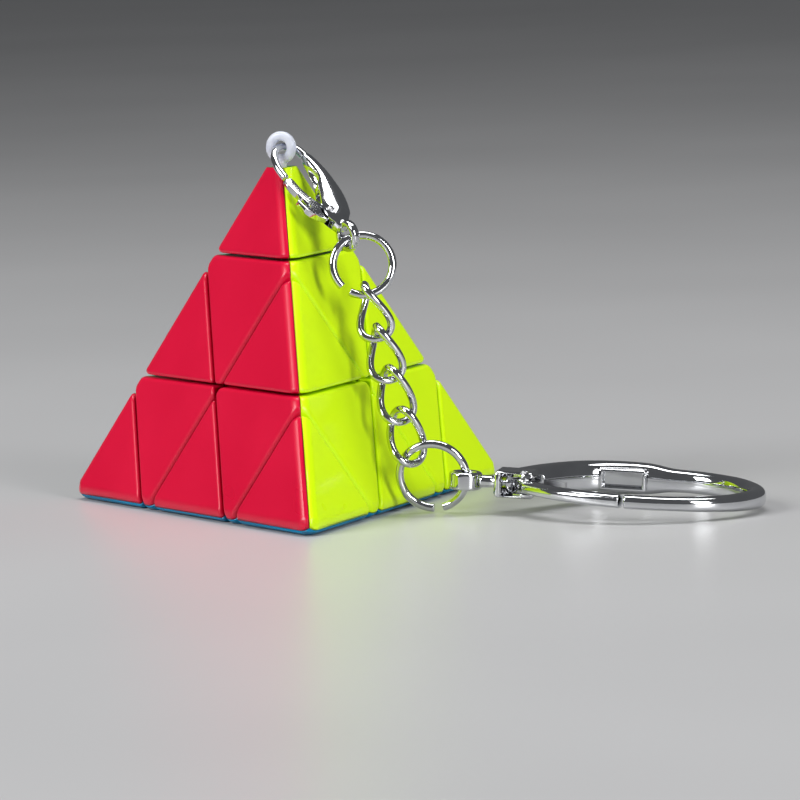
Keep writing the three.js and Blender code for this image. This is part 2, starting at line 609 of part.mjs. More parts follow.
const hook = frameGroup(HOOK_EYE_AT, new THREE.Vector3(Math.cos(HOOK_DROOP), 0, -Math.sin(HOOK_DROOP)),
  new THREE.Vector3(0, 1, 0));
addMesh(hook, 'hook_eye', hookEye(), 'chrome');
addMesh(hook, 'hook_body', hookBody(), 'chrome');
addMesh(hook, 'hook_gate', hookGate(), 'chrome');
addMesh(hook, 'hook_pin', crossCylinder(HOOK_PIVOT, HOOK_PIN_R, HOOK_BLOCK.thick), 'steel');
addMesh(hook, 'hook_spring', hookSpring(), 'steel');

// ---------------------------------------------------------------- the whole object
const model = new THREE.Group();
model.add(puzzle, clasp, upperRing, chain, lowerRing, hook);

// the origin is under the middle of the object's box, on the surface that it stands on
const extent = new THREE.Box3().setFromObject(model, true);
const middleOfExtent = extent.getCenter(new THREE.Vector3());
model.position.set(-middleOfExtent.x, -middleOfExtent.y, -extent.min.z);

export default model;
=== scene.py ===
"""Keychain pyramid twisty puzzle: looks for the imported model.

Lengths are in millimetres until mesh_object() writes them in metres. Puzzle shapes are worked out about the
puzzle's centre, and the fittings about the frames that their joints give.
"""
import json
import math

import bmesh
import bpy
import numpy as np
from mathutils import Matrix, Quaternion, Vector


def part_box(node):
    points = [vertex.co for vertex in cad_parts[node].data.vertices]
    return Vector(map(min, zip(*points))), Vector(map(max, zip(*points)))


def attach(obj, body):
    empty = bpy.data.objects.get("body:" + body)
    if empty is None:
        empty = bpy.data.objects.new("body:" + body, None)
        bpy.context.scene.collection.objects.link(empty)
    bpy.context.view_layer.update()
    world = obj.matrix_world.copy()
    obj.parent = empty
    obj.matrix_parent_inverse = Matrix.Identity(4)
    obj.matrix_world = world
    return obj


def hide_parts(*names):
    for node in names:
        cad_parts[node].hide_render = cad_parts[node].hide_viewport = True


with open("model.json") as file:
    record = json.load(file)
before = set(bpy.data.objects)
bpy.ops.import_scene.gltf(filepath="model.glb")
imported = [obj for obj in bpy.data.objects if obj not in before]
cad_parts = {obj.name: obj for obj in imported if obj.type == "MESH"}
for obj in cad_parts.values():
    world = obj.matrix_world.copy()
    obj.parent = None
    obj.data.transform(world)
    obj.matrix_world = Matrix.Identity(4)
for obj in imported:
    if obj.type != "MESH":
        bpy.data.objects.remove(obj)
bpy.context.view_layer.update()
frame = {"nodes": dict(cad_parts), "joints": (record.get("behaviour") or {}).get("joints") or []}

MM = 0.001
JOINTS = {joint["name"]: joint for joint in frame["joints"]}
NODES = frame["nodes"]


def joint_place(name):
    return Vector(JOINTS[name]["pos_m"]) / MM


def joint_axis(name):
    return Vector(JOINTS[name]["axis"]).normalized()


# ------------------------------------------------------------------ driving dimensions: puzzle
EDGE = 45.0
TIP_SHARE = 0.33
DEEP_SHARE = 0.66
EDGE_ROUND = 1.2
SEAM = 0.24
SHELL_GAP = 0.01
APEX_FLAT_Z = 33.1
HOOK_R = 7.35
MECH_GAP = 0.3
SEAM_ROUND = 0.36          # rounding of a piece's edges along the seams
CORNER_ROUND = 0.85        # and where a seam crosses the pyramid's edge
INNER_ROUND = 0.3          # and inside, between two seams
NIB_ROUND = 0.42           # where a centre piece narrows on the pyramid's edge
WELD = 0.003               # points nearer than this become one
TOUCHING = 1e-5            # points nearer than this are the same point
ON_PLANE = 1e-3            # a face nearer than this to a seam plane lies in it
SEAM_ALIGNED = 0.999       # least cosine between a face and the seam plane that it lies in
FACE_ALIGNED = 0.9999      # and between a face and the side of the pyramid that it lies in
EDGE_SEGMENTS = 10
SEAM_SEGMENTS = 5
BALL_SUBDIVISIONS = 5

HEIGHT = EDGE * math.sqrt(2 / 3)
OUT_R = 0.75 * HEIGHT
IN_R = 0.25 * HEIGHT
TIP_CUT = OUT_R - TIP_SHARE * HEIGHT
DEEP_CUT = OUT_R - DEEP_SHARE * HEIGHT
HALF_SEAM = SEAM / 2

CENTRE = joint_place("apex_tip_turn")
VERTICES = {
    "apex": joint_axis("apex_tip_turn"),
    "front": joint_axis("front_tip_turn"),
    "right": joint_axis("right_tip_turn"),
    "left": joint_axis("left_layer_turn"),
}
FACE_OPPOSITE = {"red": "right", "yellow": "left", "blue": "apex", "green": "front"}


def colours_at(*names):
    return [colour for colour, vertex in FACE_OPPOSITE.items() if vertex not in names]


# ------------------------------------------------------------------ mesh helpers
def mesh_object(name, bm, material, offset=Vector((0, 0, 0)), turn=None):
    """A Blender object from a bmesh in millimetres, turned and then moved by offset."""
    place = Matrix.Translation(offset)
    if turn is not None:
        place = place @ turn.to_4x4()
    bm.transform(Matrix.Scale(MM, 4) @ place)
    bmesh.ops.recalc_face_normals(bm, faces=bm.faces[:])
    mesh = bpy.data.meshes.new(name)
    bm.to_mesh(mesh)
    bm.free()
    for polygon in mesh.polygons:
        polygon.use_smooth = True
    mesh.materials.append(material)
    piece = bpy.data.objects.new(name, mesh)
    bpy.context.scene.collection.objects.link(piece)
    return piece


def apply_modifiers(piece):
    """Replace a piece's mesh by what its modifiers make of it."""
    bpy.context.view_layer.update()
    graph = bpy.context.evaluated_depsgraph_get()
    made = bpy.data.meshes.new_from_object(piece.evaluated_get(graph), depsgraph=graph)
    old = piece.data
    piece.modifiers.clear()
    piece.data = made
    made.name = old.name
    bpy.data.meshes.remove(old)
    return piece


def boolean(piece, operand, operation):
    """Join, cut or intersect a piece with an operand, which is used up."""
    modifier = piece.modifiers.new("boolean", "BOOLEAN")
    modifier.operation = operation
    modifier.solver = "MANIFOLD"
    modifier.object = operand
    apply_modifiers(piece)
    bpy.data.objects.remove(operand)
    return piece


def finish_normals(piece):
    """Clean a finished piece's mesh and shade it flat on its faces and smooth round its edges."""
    bm = bmesh.new()
    bm.from_mesh(piece.data)
    bmesh.ops.remove_doubles(bm, verts=bm.verts[:], dist=WELD * MM)
    bmesh.ops.dissolve_degenerate(bm, edges=bm.edges[:], dist=WELD * MM)
    bm.to_mesh(piece.data)
    bm.free()
    for polygon in piece.data.polygons:
        polygon.use_smooth = True
    modifier = piece.modifiers.new("normals", "WEIGHTED_NORMAL")
    modifier.weight = 50
    modifier.keep_sharp = False
    apply_modifiers(piece)


def keep_below(bm, normal, distance):
    """Cut a closed convex bmesh to the side where point . normal < distance, and close it."""
    geometry = bm.verts[:] + bm.edges[:] + bm.faces[:]
    cut = bmesh.ops.bisect_plane(bm, geom=geometry, dist=TOUCHING, plane_co=normal * distance,
                                 plane_no=normal, clear_outer=True)
    rim = [item for item in cut["geom_cut"] if isinstance(item, bmesh.types.BMEdge)]
    if rim:
        bmesh.ops.contextual_create(bm, geom=rim)


# ------------------------------------------------------------------ materials
def new_material(name):
    material = bpy.data.materials.new(name)
    material.use_nodes = True
    nodes = material.node_tree.nodes
    return material, nodes, material.node_tree.links, nodes["Principled BSDF"]


NOISE_LOW = 0.3            # nearly all of a noise lies between these two values
NOISE_HIGH = 0.7


def add_noise(nodes, links, scale, detail):
    """Noise in the object's own metres, about scale times per millimetre."""
    place = nodes.new("ShaderNodeTexCoord")
    noise = nodes.new("ShaderNodeTexNoise")
    noise.inputs["Scale"].default_value = scale / MM
    noise.inputs["Detail"].default_value = detail
    links.new(place.outputs["Object"], noise.inputs["Vector"])
    return noise.outputs["Fac"]


def add_range(nodes, links, value, low, high):
    """value, which varies about 0.5, mapped to low..high."""
    spread = nodes.new("ShaderNodeMapRange")
    spread.inputs["From Min"].default_value = NOISE_LOW
    spread.inputs["From Max"].default_value = NOISE_HIGH
    spread.inputs["To Min"].default_value = low
    spread.inputs["To Max"].default_value = high
    links.new(value, spread.inputs["Value"])
    return spread.outputs["Result"]


def add_bump(nodes, links, shader, value, height_mm, strength):
    bump = nodes.new("ShaderNodeBump")
    bump.inputs["Distance"].default_value = height_mm * MM
    bump.inputs["Strength"].default_value = strength
    links.new(value, bump.inputs["Height"])
    links.new(bump.outputs["Normal"], shader.inputs["Normal"])


def add_colour(nodes, links, shader, value, first, second):
    ramp = nodes.new("ShaderNodeValToRGB")
    ramp.color_ramp.elements[0].position = NOISE_LOW
    ramp.color_ramp.elements[1].position = NOISE_HIGH
    ramp.color_ramp.elements[0].color = (*first, 1)
    ramp.color_ramp.elements[1].color = (*second, 1)
    links.new(value, ramp.inputs["Fac"])
    links.new(ramp.outputs["Color"], shader.inputs["Base Color"])


def plastic(name, colour, deeper, roughness=0.3):
    """Moulded plastic: a satin skin with fine grain and slow changes of tone and gloss."""
    material, nodes, links, shader = new_material(name)
    slow = add_noise(nodes, links, 0.09, 2)
    grain = add_noise(nodes, links, 9.0, 4)
    add_colour(nodes, links, shader, slow, deeper, colour)
    links.new(add_range(nodes, links, slow, roughness - 0.03, roughness + 0.05), shader.inputs["Roughness"])
    add_bump(nodes, links, shader, grain, 0.012, 0.25)
    shader.inputs["Specular IOR Level"].default_value = 0.4
    shader.inputs["Subsurface Weight"].default_value = 0.08
    shader.inputs["Subsurface Radius"].default_value = (1.2 * MM, 0.8 * MM, 0.5 * MM)
    shader.inputs["Subsurface Scale"].default_value = 1.0
    return material


def metal(name, colour, deeper, rough_low, rough_high, grain_scale, grain_height):
    """Plated metal: bright, with faint stains in its gloss and the fine grain of polishing."""
    material, nodes, links, shader = new_material(name)
    shader.inputs["Metallic"].default_value = 1.0
    stains = add_noise(nodes, links, 0.5, 5)
    grain = add_noise(nodes, links, grain_scale, 3)
    add_colour(nodes, links, shader, stains, deeper, colour)
    links.new(add_range(nodes, links, stains, rough_low, rough_high), shader.inputs["Roughness"])
    add_bump(nodes, links, shader, grain, grain_height, 0.3)
    return material


def milky_nylon():
    material, nodes, links, shader = new_material("milky_nylon")
    cloud = add_noise(nodes, links, 0.7, 3)
    add_colour(nodes, links, shader, cloud, (0.62, 0.66, 0.78), (0.82, 0.85, 0.93))
    links.new(add_range(nodes, links, cloud, 0.28, 0.4), shader.inputs["Roughness"])
    add_bump(nodes, links, shader, add_noise(nodes, links, 6.0, 3), 0.01, 0.3)
    shader.inputs["Transmission Weight"].default_value = 0.25
    shader.inputs["Subsurface Weight"].default_value = 0.6
    shader.inputs["Subsurface Radius"].default_value = (0.9 * MM, 0.9 * MM, 1.0 * MM)
    shader.inputs["Subsurface Scale"].default_value = 1.0
    return material


PLASTIC = {
    "red": plastic("red_plastic", (0.62, 0.0, 0.034), (0.57, 0.0, 0.03)),
    "yellow": plastic("yellow_plastic", (0.66, 0.96, 0.0), (0.63, 0.93, 0.0)),
    "blue": plastic("blue_plastic", (0.0, 0.22, 0.42), (0.0, 0.19, 0.38)),
    "green": plastic("green_plastic", (0.0, 0.36, 0.08), (0.0, 0.33, 0.07)),
    "core": plastic("core_plastic", (0.02, 0.02, 0.022), (0.015, 0.015, 0.017), 0.5),
}
CHROME = metal("chrome", (0.66, 0.67, 0.69), (0.58, 0.59, 0.61), 0.03, 0.09, 3.0, 0.004)
STEEL = metal("steel", (0.56, 0.56, 0.58), (0.48, 0.48, 0.5), 0.25, 0.4, 4.0, 0.01)
NYLON = milky_nylon()


# ------------------------------------------------------------------ the rounded pyramid and its pieces
def rounded_pyramid():
    """The whole outer body about the puzzle's centre, its six edges rounded."""
    bm = bmesh.new()
    corners = {name: bm.verts.new(axis * OUT_R) for name, axis in VERTICES.items()}
    for skipped in VERTICES:
        bm.faces.new([corner for name, corner in corners.items() if name != skipped])
    bmesh.ops.recalc_face_normals(bm, faces=bm.faces[:])
    bmesh.ops.bevel(bm, geom=bm.edges[:], offset=EDGE_ROUND * math.sqrt(2), segments=EDGE_SEGMENTS,
                    profile=0.5, affect="EDGES", offset_type="OFFSET")
    keep_below(bm, VERTICES["apex"], APEX_FLAT_Z - IN_R)
    return bm


PYRAMID = rounded_pyramid()


def cut_piece(cuts, corner_round):
    """A piece of the rounded pyramid between seam planes, its edges rounded."""
    bm = PYRAMID.copy()
    for normal, distance in cuts:
        keep_below(bm, normal, distance)
    bm.normal_update()

    def on_a_cut(face):
        middle = face.calc_center_median()
        return any(abs(middle.dot(normal) - distance) < ON_PLANE
                   and abs(face.normal.dot(normal)) > SEAM_ALIGNED
                   for normal, distance in cuts)

    def on_a_face(face):
        return any(face.normal.dot(axis) < -FACE_ALIGNED for axis in VERTICES.values())

    weights = bm.edges.layers.float.new("bevel_weight_edge")
    widest = max(corner_round, SEAM_ROUND)
    for edge in bm.edges:
        on_cuts = [on_a_cut(face) for face in edge.link_faces]
        if not any(on_cuts):
            continue
        if all(on_cuts):
            edge[weights] = INNER_ROUND / widest
            continue
        outside = edge.link_faces[0] if on_cuts[1] else edge.link_faces[1]
        if on_a_face(outside):
            edge[weights] = SEAM_ROUND / widest
        else:
            slants = sorted(-outside.normal.dot(axis) for axis in VERTICES.values())
            share = min(1.0, (1.0 - slants[-1]) / (1.0 - math.sqrt(2 / 3)))
            edge[weights] = (SEAM_ROUND + (corner_round - SEAM_ROUND) * math.sqrt(share)) / widest
    return bm


def rounded_piece(name, cuts, material, corner_round):
    piece = mesh_object(name, cut_piece(cuts, corner_round), material, CENTRE)
    bevel = piece.modifiers.new("rounding", "BEVEL")
    bevel.limit_method = "WEIGHT"
    bevel.width = max(corner_round, SEAM_ROUND) * MM
    bevel.segments = SEAM_SEGMENTS
    bevel.profile = 0.5
    bevel.use_clamp_overlap = False
    return apply_modifiers(piece)


def inner_ball(radius):
    bm = bmesh.new()
    bmesh.ops.create_icosphere(bm, subdivisions=BALL_SUBDIVISIONS, radius=radius)
    return mesh_object("ball", bm, PLASTIC["core"], CENTRE)


def cad_copy(node):
    """A loose copy of a CAD node, welded so that it is a closed body."""
    copy = bpy.data.objects.new("foot", NODES[node].data.copy())
    bpy.context.scene.collection.objects.link(copy)
    bm = bmesh.new()
    bm.from_mesh(copy.data)
    bmesh.ops.remove_doubles(bm, verts=bm.verts[:], dist=1e-7)
    bm.to_mesh(copy.data)
    bm.free()
    return copy


def coloured_shells(prefix, names, cuts, body, hooked):
    """One object for each colour of a puzzle piece.

    A hooked piece keeps the moulded foot that the CAD model gives it.
    """
    corner_round = NIB_ROUND if hooked and len(names) == 1 else CORNER_ROUND
    whole = rounded_piece(prefix, cuts, PLASTIC["core"], corner_round)
    colours = colours_at(*names)
    for colour in colours:
        node = f"{prefix}_{colour}"
        bm = bmesh.new()
        bm.from_mesh(whole.data)
        bm.transform(Matrix.Translation(-CENTRE) @ Matrix.Scale(1 / MM, 4))
        own = VERTICES[FACE_OPPOSITE[colour]]
        for other in colours:
            if other != colour:
                towards = (own - VERTICES[FACE_OPPOSITE[other]]).normalized()
                keep_below(bm, towards, -SHELL_GAP / 2)
        shell = mesh_object(node + "_shell", bm, PLASTIC[colour], CENTRE)
        if hooked:
            boolean(shell, inner_ball(HOOK_R + MECH_GAP / 2), "DIFFERENCE")
            foot = boolean(cad_copy(node), inner_ball(HOOK_R + MECH_GAP), "INTERSECT")
            boolean(shell, foot, "UNION")
        else:
            boolean(shell, cad_copy(node), "INTERSECT")
        shell.data.materials.clear()
        shell.data.materials.append(PLASTIC[colour])
        finish_normals(shell)
        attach(shell, body)
        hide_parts(node)
    bpy.data.objects.remove(whole)


def layer_cuts(inside, outside):
    """Seam planes of a piece that is in some vertex layers and out of others."""
    cuts = [(-VERTICES[name], -(DEEP_CUT + HALF_SEAM)) for name in inside]
    return cuts + [(VERTICES[name], DEEP_CUT - HALF_SEAM) for name in outside]


def build_puzzle():
    names = list(VERTICES)
    for name, axis in VERTICES.items():
        others = [other for other in names if other != name]
        own_body = "left_layer" if name == "left" else "puzzle"
        coloured_shells(f"tip_{name}", [name], [(-axis, -(TIP_CUT + HALF_SEAM))], f"tip_{name}", False)
        cuts = layer_cuts([name], others) + [(axis, TIP_CUT - HALF_SEAM)]
        coloured_shells(f"centre_{name}", [name], cuts, own_body, True)
        for other in names[names.index(name) + 1:]:
            body = "left_layer" if other == "left" else "puzzle"
            coloured_shells(f"edge_{name}_{other}", [name, other], layer_cuts([name, other], []), body, True)


build_puzzle()


# ------------------------------------------------------------------ swept and turned shapes
END_STEPS = 4              # rings that round the end of a sweep
END_SWEEP = 0.94           # share of the quarter turn that they go through
CUTTER_SIDES = 32


def smooth_path(points, count):
    """Points of a Catmull-Rom curve through the given ones, evenly spaced by parameter."""
    known = [np.array(point, float) for point in points]
    known = [2 * known[0] - known[1]] + known + [2 * known[-1] - known[-2]]
    spans = len(known) - 3
    made = []
    for step in range(count):
        along = spans * step / (count - 1)
        span = min(int(along), spans - 1)
        t = along - span
        a, b, c, d = known[span:span + 4]
        made.append(0.5 * (2 * b + (c - a) * t + (2 * a - 5 * b + 4 * c - d) * t ** 2
                           + (3 * b - a - 3 * c + d) * t ** 3))
    return made


def add_sweep(bm, path, sizes, sides, closed=False, flat_normal=None, square=2.0, end_round=0.0):
    """A tube along path, added to bm.

    sizes holds each point's half width and half thickness, the thickness along flat_normal. square is the
    exponent of the section, 2 for an ellipse.
    """
    points = [np.array(point, float) for point in path]
    count = len(points)
    rings = []
    for index in range(count):
        before = points[index - 1] if closed or index else points[0]
        after = points[(index + 1) % count] if closed or index + 1 < count else points[-1]
        tangent = after - before
        tangent = tangent / np.linalg.norm(tangent)
        if flat_normal is None:
            guide = np.cross(tangent, points[index] - np.mean(points, axis=0))
        else:
            guide = np.array(flat_normal, float)
        thick = guide - tangent * guide.dot(tangent)
        thick = thick / np.linalg.norm(thick)
        wide = np.cross(thick, tangent)
        rings.append((points[index], tangent, wide, thick, sizes[index]))
    if not closed and end_round > 0:
        rings = with_round_ends(rings, end_round)
    loops = []
    for centre, _, wide, thick, (half_width, half_thick) in rings:
        loop = []
        for side in range(sides):
            angle = 2 * math.pi * side / sides
            x = math.copysign(abs(math.cos(angle)) ** (2 / square), math.cos(angle))
            y = math.copysign(abs(math.sin(angle)) ** (2 / square), math.sin(angle))
            loop.append(bm.verts.new(centre + wide * half_width * x + thick * half_thick * y))
        loops.append(loop)
    spans = len(loops) if closed else len(loops) - 1
    for index in range(spans):
        here, there = loops[index], loops[(index + 1) % len(loops)]
        for side in range(sides):
            beside = (side + 1) % sides
            bm.faces.new((here[side], here[beside], there[beside], there[side]))
    if not closed:
        bm.faces.new(loops[0][::-1])
        bm.faces.new(loops[-1])


def with_round_ends(rings, end_round):
    """Extra rings that round both ends of a sweep by end_round."""
    capped = []
    for end, outward in ((rings[0], -1), (rings[-1], 1)):
        centre, tangent, wide, thick, (half_width, half_thick) = end
        cap = []
        for step in range(1, END_STEPS + 1):
            angle = 0.5 * math.pi * step / END_STEPS * END_SWEEP
            back = end_round * (1 - math.cos(angle))
            place = centre + tangent * outward * end_round * (math.sin(angle) - 1)
            cap.append((place, tangent, wide, thick, (half_width - back, half_thick - back)))
        capped.append(cap)
    first = rings[0]
    last = rings[-1]
    start = (first[0] + first[1] * end_round, *first[1:])
    finish = (last[0] - last[1] * end_round, *last[1:])
    return capped[0][::-1] + [start] + rings[1:-1] + [finish] + capped[1]


def add_turned(bm, profile, sides, matrix=None):
    """A closed profile of (radius, height) points turned about local z."""
    loops = []
    for side in range(sides):
        angle = 2 * math.pi * side / sides
        loops.append([bm.verts.new((radius * math.cos(angle), radius * math.sin(angle), height))
                      for radius, height in profile])
    made = [vertex for loop in loops for vertex in loop]
    for side in range(sides):
        here, there = loops[side], loops[(side + 1) % sides]
        for index in range(len(profile)):
            after = (index + 1) % len(profile)
            bm.faces.new((here[index], there[index], there[after], here[after]))
    bmesh.ops.remove_doubles(bm, verts=made, dist=TOUCHING)
    if matrix is not None:
        left = [vertex for vertex in made if vertex.is_valid]
        bmesh.ops.transform(bm, matrix=matrix, verts=left)


def add_box(bm, low, high, round_by=0.0, segments=4):
    made = bmesh.ops.create_cube(bm, size=1.0)["verts"]
    size = Vector(high) - Vector(low)
    bmesh.ops.scale(bm, vec=size, verts=made)
    bmesh.ops.translate(bm, vec=(Vector(high) + Vector(low)) / 2, verts=made)
    if round_by:
        edges = list({edge for vertex in made for edge in vertex.link_edges})
        bmesh.ops.bevel(bm, geom=edges, offset=round_by, segments=segments, profile=0.5, affect="EDGES")


def add_plate(bm, outline, thickness, round_by):
    """An outline in local xy, as thick as given and centred on it, its rims rounded."""
    bottom = [bm.verts.new((x, y, -thickness / 2)) for x, y in outline]
    top = [bm.verts.new((x, y, thickness / 2)) for x, y in outline]
    count = len(outline)
    caps = [bm.faces.new(bottom[::-1]), bm.faces.new(top)]
    for index in range(count):
        after = (index + 1) % count
        bm.faces.new((bottom[index], bottom[after], top[after], top[index]))
    rims = [edge for cap in caps for edge in cap.edges]
    bmesh.ops.bevel(bm, geom=rims, offset=round_by, segments=3, profile=0.5, affect="EDGES")


def arc_points(centre_x, centre_y, radius, start, sweep, count):
    """Evenly spaced points of an arc that begins at the angle start and turns by sweep."""
    return [(centre_x + radius * math.cos(start + sweep * step / (count - 1)),
             centre_y + radius * math.sin(start + sweep * step / (count - 1))) for step in range(count)]


def circle_points(radius, start, sweep, count):
    return [(x, y, 0) for x, y in arc_points(0, 0, radius, start, sweep, count)]


def ring_points(radius, count, matrix):
    """The points of a whole circle about local z, moved by a matrix."""
    sweep = 2 * math.pi * (count - 1) / count
    return [matrix @ Vector(point) for point in circle_points(radius, 0, sweep, count)]


def smooth_stations(stations, count):
    """A path and its section sizes from stations of (x, y, half width, half thickness)."""
    path = smooth_path([(x, y, 0) for x, y, _, _ in stations], count)
    sizes = smooth_path([(half_width, half_thick, 0) for _, _, half_width, half_thick in stations], count)
    return path, [tuple(size[:2]) for size in sizes]


def pose_of(x_axis, y_axis):
    """The turn whose local x and y are the given directions."""
    x = x_axis.normalized()
    z = x.cross(y_axis).normalized()
    return Matrix((x, z.cross(x), z)).transposed()


def tube_cutter(name, point, radius, length, turn, origin):
    """A round cutter along local z through a point of the local xy plane."""
    bm = bmesh.new()
    bmesh.ops.create_cone(bm, cap_ends=True, segments=CUTTER_SIDES, radius1=radius, radius2=radius,
                          depth=length, matrix=Matrix.Translation((*point, 0)))
    return mesh_object(name, bm, STEEL, origin, turn)


def fit_piece(piece, node, body):
    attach(piece, body)
    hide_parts(node)


# ------------------------------------------------------------------ eyelet
EYELET_RING_R = 1.12
EYELET_WIRE_R = 0.46
EYELET_STEM_R = 0.5
EYELET_HEAD_R = 1.0
EYELET_HEAD_H = 0.7
EYELET_HEAD_BEVEL = 0.12
EYELET_FLARE = {"wider": 0.1, "from": 0.5, "to": 0.15}    # where the stem meets the ring
RING_STEPS = 64
EYELET_HOLE_AZIMUTH = math.radians(-104)
EYELET = joint_place("clasp_swing")


def build_eyelet():
    head_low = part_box("eyelet")[0].z / MM - EYELET.z
    bm = bmesh.new()
    stand = Matrix.Rotation(EYELET_HOLE_AZIMUTH + math.pi / 2, 4, "Z") @ Matrix.Rotation(math.pi / 2, 4, "X")
    ring = ring_points(EYELET_RING_R, RING_STEPS, stand)
    looks = stand.to_3x3() @ Vector((0, 0, 1))
    add_sweep(bm, ring, [(EYELET_WIRE_R, EYELET_WIRE_R)] * len(ring), 24, True, looks, 2.3)
    piece = mesh_object("eyelet_moulded", bm, NYLON, EYELET)
    stem = bmesh.new()
    head_top = head_low + EYELET_HEAD_H
    bevel = EYELET_HEAD_BEVEL
    flare = [(EYELET_STEM_R, head_top), (EYELET_STEM_R, -EYELET_RING_R - EYELET_FLARE["from"]),
             (EYELET_STEM_R + EYELET_FLARE["wider"], -EYELET_RING_R - EYELET_FLARE["to"]),
             (0, -EYELET_RING_R)]
    profile = [(0, head_low), (EYELET_HEAD_R - bevel, head_low), (EYELET_HEAD_R, head_low + bevel),
               (EYELET_HEAD_R, head_top - bevel), (EYELET_HEAD_R - bevel, head_top)] + flare
    add_turned(stem, profile, 40)
    boolean(piece, mesh_object("stem", stem, NYLON, EYELET), "UNION")
    finish_normals(piece)
    fit_piece(piece, "eyelet", "puzzle")


build_eyelet()

# ------------------------------------------------------------------ small clasp
CLASP_X = -joint_axis("clasp_swing")
CLASP_Z = -joint_axis("clasp_lever_press")
CLASP_TURN = pose_of(CLASP_X, CLASP_Z.cross(CLASP_X))
CLASP_PIVOT = (0.15, -9.2)
CLASP_PIN_R = 0.32
CLASP_THICK = 1.9
CLASP_SLOT_H = 0.95
CLASP_LEVER_THICK = 0.7
CLASP_EYE = (0.7, -12.2, 0)
CLASP_EYE_R = 1.25
CLASP_ARM = {"steps": 56, "radius": 0.37, "root_wider": 0.09, "root_steps": 14}
CLASP_POCKET = {"at": (1.05, -4.6, 0.1), "radii": (0.62, 1.35, 0.62)}
CLASP_GROOVE_R = 0.14
CLASP_BORE_L = 4.0
PIN_PLAY = 0.02


def clasp_piece(name, bm):
    return mesh_object(name, bm, CHROME, EYELET, CLASP_TURN)


def build_clasp_body():
    half = CLASP_THICK / 2
    # centre line, half width and half thickness, from the arm's root to the eye
    stations = [(1.8, -1.5, 0.42, 0.42), (1.9, -2.6, 0.62, 0.66), (1.95, -4.9, 0.9, 0.86),
                (1.5, -7.4, 1.4, half), (0.85, -9.5, 1.5, half), (0.72, -10.8, 0.84, 0.8),
                (0.7, -11.35, 0.56, 0.62)]
    path, sizes = smooth_stations(stations, 48)
    bm = bmesh.new()
    add_sweep(bm, path, sizes, 32, False, (0, 0, 1), 2.7, 0.3)
    body = clasp_piece("clasp_body_cast", bm)

    arm_path = smooth_path([(1.95, -2.2, 0), (1.45, -0.6, 0), (0.35, 0.05, 0), (-0.65, -0.2, 0),
                            (-1.4, -1.05, 0), (-1.8, -2.4, 0), (-1.75, -3.9, 0)], CLASP_ARM["steps"])
    swell = [CLASP_ARM["radius"] + CLASP_ARM["root_wider"] * max(0.0, 1 - index / CLASP_ARM["root_steps"])
             for index in range(CLASP_ARM["steps"])]
    bm = bmesh.new()
    add_sweep(bm, arm_path, [(size, size) for size in swell], 24, False, (0, 0, 1), 2.2, 0.1)
    boolean(body, clasp_piece("arm", bm), "UNION")

    slot = bmesh.new()
    add_box(slot, (-2.2, -10.7, -CLASP_SLOT_H / 2), (1.0, -6.4, CLASP_SLOT_H / 2))
    boolean(body, clasp_piece("slot", slot), "DIFFERENCE")
    pocket = bmesh.new()
    bmesh.ops.create_icosphere(pocket, subdivisions=4, radius=1.0)
    bmesh.ops.scale(pocket, vec=CLASP_POCKET["radii"], verts=pocket.verts)
    bmesh.ops.translate(pocket, vec=CLASP_POCKET["at"], verts=pocket.verts)
    boolean(body, clasp_piece("pocket", pocket), "DIFFERENCE")
    bore = tube_cutter("bore", CLASP_PIVOT, CLASP_PIN_R + PIN_PLAY, CLASP_BORE_L, CLASP_TURN, EYELET)
    boolean(body, bore, "DIFFERENCE")

    eye = bmesh.new()
    stand = Matrix.Translation(CLASP_EYE) @ Matrix.Rotation(math.pi / 2, 4, "Y")
    ring = ring_points(CLASP_EYE_R, RING_STEPS, stand)
    add_sweep(eye, ring, [(0.33, 0.4)] * len(ring), 20, True, (1, 0, 0), 2.8)
    boolean(body, clasp_piece("eye", eye), "UNION")
    finish_normals(body)
    fit_piece(body, "clasp_body", "clasp")


def build_clasp_lever():
    inner = smooth_path([(-1.4, -4.2, 0), (-1.1, -6.0, 0), (-0.5, -7.5, 0), (0.35, -8.7, 0)], 14)
    heel = smooth_path([(0.6, -9.3, 0), (0.25, -9.8, 0), (-0.7, -9.85, 0), (-1.75, -8.75, 0),
                        (-2.3, -7.1, 0)], 18)
    leaf = smooth_path([(-2.1, -6.95, 0), (-1.75, -7.9, 0), (-1.25, -8.45, 0)], 6)
    outer = smooth_path([(-1.3, -7.9, 0), (-1.55, -7.0, 0), (-2.0, -5.6, 0), (-2.12, -4.2, 0)], 12)
    outline = [point[:2] for point in inner + heel + leaf + outer]
    bm = bmesh.new()
    add_plate(bm, outline, CLASP_LEVER_THICK, 0.1)
    lever = clasp_piece("clasp_lever_polished", bm)
    groove = bmesh.new()
    groove_path = smooth_path([(-1.75, -4.9, 0.42), (-1.55, -6.0, 0.42), (-1.05, -7.4, 0.42)], 16)
    add_sweep(groove, groove_path, [(CLASP_GROOVE_R, CLASP_GROOVE_R)] * 16, 16, False, (0, 0, 1), 2.0, 0.1)
    boolean(lever, clasp_piece("groove", groove), "DIFFERENCE")
    bore = tube_cutter("bore", CLASP_PIVOT, CLASP_PIN_R + PIN_PLAY, CLASP_BORE_L, CLASP_TURN, EYELET)
    boolean(lever, bore, "DIFFERENCE")
    finish_normals(lever)
    fit_piece(lever, "clasp_lever", "clasp_lever")


